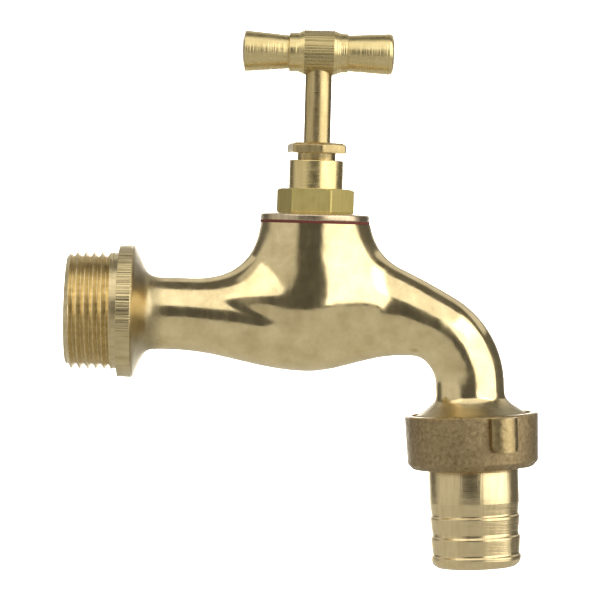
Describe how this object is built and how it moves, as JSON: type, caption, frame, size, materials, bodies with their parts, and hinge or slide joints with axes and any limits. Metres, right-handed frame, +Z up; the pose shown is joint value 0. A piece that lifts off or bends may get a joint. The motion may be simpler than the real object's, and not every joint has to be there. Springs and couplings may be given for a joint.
{
  "type": "hose bib",
  "caption": "Brass garden tap with a T-handle, threaded flanged inlet, swan-neck spout and a union nut that holds a barbed hose tail.",
  "frame": {"origin": "inlet axis at the sealing face of the inlet flange, where the thread starts", "axes": "+X along the inlet axis towards the spout, +Z up along the stem, +Y across"},
  "size_m": [0.1336, 0.0408, 0.1501],
  "materials": {
    "polished_brass": "buffed casting, mirror-like with faint polishing marks",
    "turned_brass": "turned on a lathe, fine ring marks",
    "brushed_brass": "brushed, with fine turning lines",
    "cast_bronze": "rough sand casting, dull",
    "red_fibre": "matt vulcanised fibre",
    "packing_yarn": "greased braided yarn",
    "black_rubber": "matt rubber"
  },
  "bodies": {
    "root": {"tap_body": "polished_brass", "bonnet_gasket": "red_fibre", "bonnet": "turned_brass", "packing_washer": "turned_brass", "packing_ring_lower": "packing_yarn", "packing_ring_upper": "packing_yarn"},
    "gland_ring": {"gland_follower": "turned_brass"},
    "gland_screw": {"gland_nut": "turned_brass"},
    "valve": {"valve_jumper": "turned_brass", "seat_washer": "black_rubber", "washer_plate": "turned_brass", "washer_nut": "turned_brass"},
    "spindle": {"stem": "turned_brass", "handle_hub": "brushed_brass", "handle_bar": "brushed_brass", "left_grip": "brushed_brass", "right_grip": "brushed_brass"},
    "tail": {"hose_tail": "turned_brass", "tail_washer": "black_rubber"},
    "union": {"union_nut": "cast_bronze"}
  },
  "joints": [
    {"name": "valve_lift", "type": "slide", "parent": "root", "child": "valve", "axis": [0, 0, 1], "range_m": [0, 0.005]},
    {"name": "handle_turn", "type": "hinge", "parent": "valve", "child": "spindle", "pos_m": [0.0544, 0, 0.06], "axis": [0, 0, 1], "range_deg": [0, 720]},
    {"name": "gland_press", "type": "slide", "parent": "root", "child": "gland_ring", "axis": [0, 0, 1], "range_m": [-0.0012, 0], "deforming": ["packing_ring_lower", "packing_ring_upper"]},
    {"name": "gland_turn", "type": "hinge", "parent": "gland_ring", "child": "gland_screw", "pos_m": [0.0544, 0, 0.047], "axis": [0, 0, 1], "range_deg": [-288, 0]},
    {"name": "tail_drop", "type": "slide", "parent": "root", "child": "tail", "axis": [0.061, 0, -0.9981], "range_m": [0, 0.00924]},
    {"name": "union_turn", "type": "hinge", "parent": "tail", "child": "union", "pos_m": [0.10024, 0, -0.03379], "axis": [0.061, 0, -0.9981], "range_deg": [0, 1440]}
  ],
  "couplings": [
    {"joint": "valve_lift", "follows": "handle_turn", "m_per_rad": 0.00039788},
    {"joint": "gland_press", "follows": "gland_turn", "m_per_rad": 0.00023873},
    {"joint": "tail_drop", "follows": "union_turn", "m_per_rad": 0.00036749}
  ]
}
